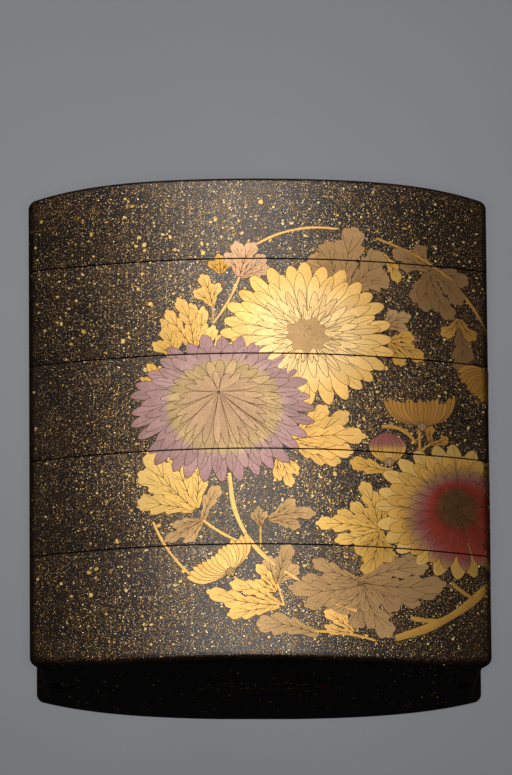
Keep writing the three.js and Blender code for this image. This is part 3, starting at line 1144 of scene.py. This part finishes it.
def makeSpray(look, layers, draws):
    rear = {key: Layer() for key in layers}
    for stem in look["stems"]:
        makeStem(stem, rear)
    for leafIndex, leaf in enumerate(look["leaves"]):
        makeLeaf(leaf, 0.015 + 0.0001 * leafIndex, rear, draws)
    makeFlower(look["flower"], rear, draws)
    makeSideFlower(look["sideFlower"], rear, draws)
    for key, layer in rear.items():
        layers[key].take(layer, look["middle"])


makeSpray(spray, front, draws)
print("wreath drawn:", sum(len(layer.faces) for layer in front.values()), "faces")


# ---- cut the picture at the seams and wrap it ----

pieceNames = dict(
    paleGold="pale_gold",
    richGold="rich_gold",
    brownGold="brown_gold",
    rosyGold="rosy_gold",
    mauve="mauve",
    crimson="crimson",
    bossBrown="boss",
    line="drawn_lines",
    flake="gold_flakes",
)


def cutAt(work, height, clearAbove, clearBelow):
    geometry = work.verts[:] + work.edges[:] + work.faces[:]
    made = bmesh.ops.bisect_plane(
        work,
        geom=geometry,
        plane_co=(0, height, 0),
        plane_no=(0, 1, 0),
        clear_outer=clearAbove,
        clear_inner=clearBelow,
    )
    if clearAbove or clearBelow:
        edges = [e for e in made["geom_cut"] if isinstance(e, bmesh.types.BMEdge) and e.is_valid]
        bmesh.ops.holes_fill(work, edges=edges, sides=0)


def wrapLayer(layer, key, material):
    # One piece for each section that the layer crosses
    flat = bpy.data.meshes.new("flat")
    points = np.concatenate(layer.points)
    powder = np.concatenate(layer.powder)
    flat.from_pydata([tuple(p) for p in points], [], layer.faces)
    attribute = flat.attributes.new("powder", "FLOAT_VECTOR", "POINT")
    attribute.data.foreach_set("vector", powder.astype(np.float32).ravel())
    radius = case["seamRound"]
    for name, span in zip(sectionNames, sectionSpans):
        lowest, highest = points[:, 1].min(), points[:, 1].max()
        if highest < span[0] + 0.3 or lowest > span[1] - 0.3:
            continue
        work = bmesh.new()
        work.from_mesh(flat)
        if lowest < span[0]:
            cutAt(work, span[0] + radius * cutShare, False, True)
            cutAt(work, span[0] + radius * 0.7, False, False)
            cutAt(work, span[0] + radius * 1.1, False, False)
        if highest > span[1]:
            cutAt(work, span[1] - radius * cutShare, True, False)
            cutAt(work, span[1] - radius * 0.7, False, False)
            cutAt(work, span[1] - radius * 1.1, False, False)
        if len(work.faces) == 0:
            work.free()
            continue
        mesh = bpy.data.meshes.new(name + "_" + pieceNames[key])
        work.to_mesh(mesh)
        work.free()
        co = np.zeros(len(mesh.vertices) * 3)
        mesh.vertices.foreach_get("co", co)
        wrapped = ontoWall(co.reshape(-1, 3), span) * mm
        mesh.vertices.foreach_set("co", wrapped.ravel())
        mesh.materials.append(material)
        mesh.shade_smooth()
        mesh.set_sharp_from_angle(angle=math.radians(40))
        piece = bpy.data.objects.new(mesh.name, mesh)
        bpy.context.scene.collection.objects.link(piece)
        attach(piece, "root")
    bpy.data.meshes.remove(flat)


for key, layer in front.items():
    if layer.count:
        wrapLayer(layer, key, lineMaterial if key == "line" else powderMaterials[key])
print("wreath wrapped round the sections")


# ---- cut gold flakes scattered in the ground ----

flakeLook = dict(
    small=dict(count=1500, size=(0.09, 0.22)),
    large=dict(count=95, size=(0.22, 0.38)),
    onSides=700,
    onEnds=260,
)

# Where the larger flakes gather: centre, spread and share
flakeClusters = [
    ((-22.0, 14.0), (6.5, 3.5), 0.22),
    ((-19.0, -22.0), (7.0, 5.5), 0.2),
    ((-6.0, 26.0), (12.0, 3.0), 0.26),
    ((8.0, -8.0), (9.0, 9.0), 0.16),
    ((14.0, 4.0), (9.0, 10.0), 0.16),
]


def addFlake(layer, at, size, draws):
    # An irregular flat chip with five to seven corners
    corners = draws.randint(5, 7)
    turn = draws.uniform(0, 360)
    stretch = draws.uniform(0.55, 1.0)
    rim = []
    for k in range(corners):
        out = polar(k * 360 / corners + draws.uniform(-14, 14)) * size * draws.uniform(0.75, 1.15)
        out = np.array([out[0], out[1] * stretch])
        spin = polar(turn)
        rim.append(np.array(at) + [out[0] * spin[0] - out[1] * spin[1], out[0] * spin[1] + out[1] * spin[0]])
    rim = np.array(rim)
    slope = np.array([draws.uniform(-1, 1), draws.uniform(-1, 1)]) * 0.02
    high = 0.009 + np.clip((rim - at) @ slope, -0.006, 0.006)
    points = np.concatenate([np.column_stack([rim, high]), np.column_stack([rim, np.full(corners, sunk)])])
    faces = [tuple(range(corners)), tuple(reversed(range(corners, 2 * corners)))]
    for k in range(corners):
        nextCorner = (k + 1) % corners
        faces.append((nextCorner, k, corners + k, corners + nextCorner))
    layer.add(points, faces, 0.5, draws.random())


def clearOfSeams(up, size):
    edges = [edge for edge in underEdges + rimEdges]
    return all(abs(up - edge) > size + case["seamRound"] + 0.05 for edge in edges)


def scatterFlakes():
    draws = random.Random(29)
    wall = Layer()
    sizes = flakeLook["large"]["size"]
    high, low = topY - 2.6, footY + 2.4
    places = []
    for _ in range(flakeLook["small"]["count"]):
        along = draws.uniform(-30.5, 30.5)
        up = draws.uniform(low, high)
        reach = math.hypot(along - wreathCentre[0], up - wreathCentre[1])
        chance = 0.35 + 0.65 * math.exp(-((reach / 30) ** 4)) + 0.35 * math.exp(-(((up - 27) / 6) ** 2))
        if draws.random() < chance:
            places.append((along, up, draws.uniform(*flakeLook["small"]["size"])))
    for _ in range(flakeLook["large"]["count"]):
        pick = draws.random()
        for centre, spread, share in flakeClusters:
            pick -= share
            if pick <= 0:
                break
        along = draws.gauss(centre[0], spread[0])
        up = draws.gauss(centre[1], spread[1])
        if abs(along) < 30 and low < up < high:
            places.append((along, up, draws.uniform(*sizes)))
    for _ in range(flakeLook["onSides"]):
        along = draws.uniform(30.5, halfWay) * draws.choice((-1, 1))
        places.append((along, draws.uniform(low, high), draws.uniform(*flakeLook["small"]["size"])))
    for along, up, size in places:
        if clearOfSeams(up, size):
            addFlake(wall, (along, up), size, draws)
    wrapLayer(wall, "flake", flakeMaterial)
    for outward, name in ((1, "lid_top_flakes"), (-1, "foot_flakes")):
        end = Layer()
        for _ in range(flakeLook["onEnds"] // 2):
            at = (draws.uniform(-27, 27), draws.uniform(3.4, caseDepth - 3.4))
            addFlake(end, at, draws.uniform(*flakeLook["small"]["size"]), draws)
        addEndPiece(end, outward, name, flakeMaterial)


def addEndPiece(layer, outward, name, material):
    points = ontoEnd(np.concatenate(layer.points), outward)
    faces = layer.faces if outward < 0 else [tuple(reversed(face)) for face in layer.faces]
    piece = makeObject(name, points, faces, [material], powder=np.concatenate(layer.powder))
    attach(piece, "root")


scatterFlakes()
print("gold flakes scattered")

# Rows of strokes on the foot that stand for a faint inscription, without being letters, and a small oval mark
footMarks = dict(
    rows=(14.2, 12.4),
    fromX=-7.4,
    toX=6.6,
    pitch=0.95,
    strokes=3,
    length=(0.3, 0.85),
    width=0.1,
    mark=dict(at=(8.3, 13.3), half=0.6, length=1.7),
)


def makeFootMarks(look):
    draws = random.Random(5)
    strokes = Layer()
    for row in look["rows"]:
        for cell in np.arange(look["fromX"], look["toX"], look["pitch"]):
            for _ in range(look["strokes"]):
                middle = np.array([cell + draws.uniform(-0.25, 0.25), row + draws.uniform(-0.45, 0.45)])
                reach = polar(draws.uniform(0, 180)) * draws.uniform(*look["length"]) / 2
                bulge = np.array([-reach[1], reach[0]]) * draws.uniform(-0.5, 0.5)
                drawLine(strokes, [middle - reach, middle + bulge, middle + reach], look["width"], 0.012, steps=3)
    addEndPiece(strokes, -1, "foot_strokes", powderMaterials["brownGold"])
    mark = Layer()
    look = look["mark"]
    t = np.linspace(-1, 1, 15)
    spine = np.array(look["at"]) + np.column_stack([np.zeros(15), t * look["length"] / 2])
    addSlab(mark, spine, np.maximum(look["half"] * np.sqrt(1 - t**2), 0.03), 0.014, tone=0.3)
    addEndPiece(mark, -1, "foot_mark", powderMaterials["crimson"])


makeFootMarks(footMarks)
print("foot marked")


# ---- stage, light and camera ----

stageLook = dict(
    elevation=67.8,  # the camera looks down on the front face
    distance=2400.0,  # a long lens, so that the sides stay nearly parallel
    frameHeight=100.8,  # height of the picture at the front face
    aim=(-0.43, 4.75),  # centre of the picture, right of and above the middle of the front
    azimuth=-1.1,  # and from very slightly to the left
    keyElevation=60.0,
    keyAzimuth=-1.5,
    keySize=(420.0, 1900.0),
    keyDistance=1300.0,
    keyPower=11.0,
    fillPower=6.0,
    paperLightAt=(-14.0, 34.0, 145.0),
    paperLightPower=0.114,
)


def softBox(name, place, size, power):
    # A rectangular light that faces the case; place and size are in millimetres
    light = bpy.data.lights.new(name, "AREA")
    light.shape = "RECTANGLE"
    light.size = size[0] * mm
    light.size_y = size[1] * mm
    light.energy = power
    box = bpy.data.objects.new(name, light)
    bpy.context.scene.collection.objects.link(box)
    box.location = place * mm
    box.rotation_euler = (-place).to_track_quat("-Z", "Y").to_euler()
    box.visible_camera = False
    return box


def paperGroup(name, paper, state):
    # A collection that tells a light whether it falls on the paper
    group = bpy.data.collections.new(name)
    group.objects.link(paper)
    group.collection_objects[0].light_linking.link_state = state
    return group


def makeStage(look):
    bpy.ops.mesh.primitive_plane_add(size=6000 * mm)
    floor = bpy.context.object
    floor.name = "paper_floor"
    floor.data.materials.append(backdropPaper("mattBackdropPaper"))

    # Paper that shows in the polished lacquer would grey its black edges
    floor.visible_glossy = False

    camera = bpy.data.objects.new("camera", bpy.data.cameras.new("camera"))
    bpy.context.scene.collection.objects.link(camera)
    camera.rotation_mode = "YXZ"
    camera.rotation_euler = (math.radians(90 - look["elevation"]), math.radians(look["azimuth"]), 0)
    turned = camera.rotation_euler.to_matrix()
    target = Vector((look["aim"][0], 0, caseDepth - 3)) + turned @ Vector((0, look["aim"][1], 0))
    backward = turned @ Vector((0, 0, look["distance"]))
    camera.location = (target + backward) * mm
    camera.data.lens = camera.data.sensor_width * look["distance"] / look["frameHeight"]
    camera.data.clip_start = 0.1
    camera.data.clip_end = 20
    bpy.context.scene.camera = camera

    # A long soft box behind the case, where its curved face mirrors it as one upright band of light
    rise, turn = math.radians(look["keyElevation"]), math.radians(look["keyAzimuth"])
    behind = Vector((math.sin(turn), math.cos(rise), math.sin(rise))).normalized()
    key = softBox("softBox", behind * look["keyDistance"], look["keySize"], look["keyPower"])
    key.light_linking.receiver_collection = paperGroup("offThePaper", floor, "EXCLUDE")
    # A weak one by the camera, whose shadows fall behind the case, and one for the paper alone
    softBox("fill", backward, (300, 300), look["fillPower"])
    wide = softBox("paperLight", Vector(look["paperLightAt"]), (80, 80), look["paperLightPower"])
    onPaper = paperGroup("onPaper", floor, "INCLUDE")
    wide.light_linking.receiver_collection = onPaper
    wide.light_linking.blocker_collection = onPaper

    world = bpy.data.worlds.new("studio")
    world.use_nodes = True
    world.node_tree.nodes["Background"].inputs["Color"].default_value = toLinear("#c9ccd2")
    world.node_tree.nodes["Background"].inputs["Strength"].default_value = 0.015
    bpy.context.scene.world = world
    bpy.context.scene.view_settings.view_transform = "Standard"


makeStage(stageLook)
print("stage, light and camera set")
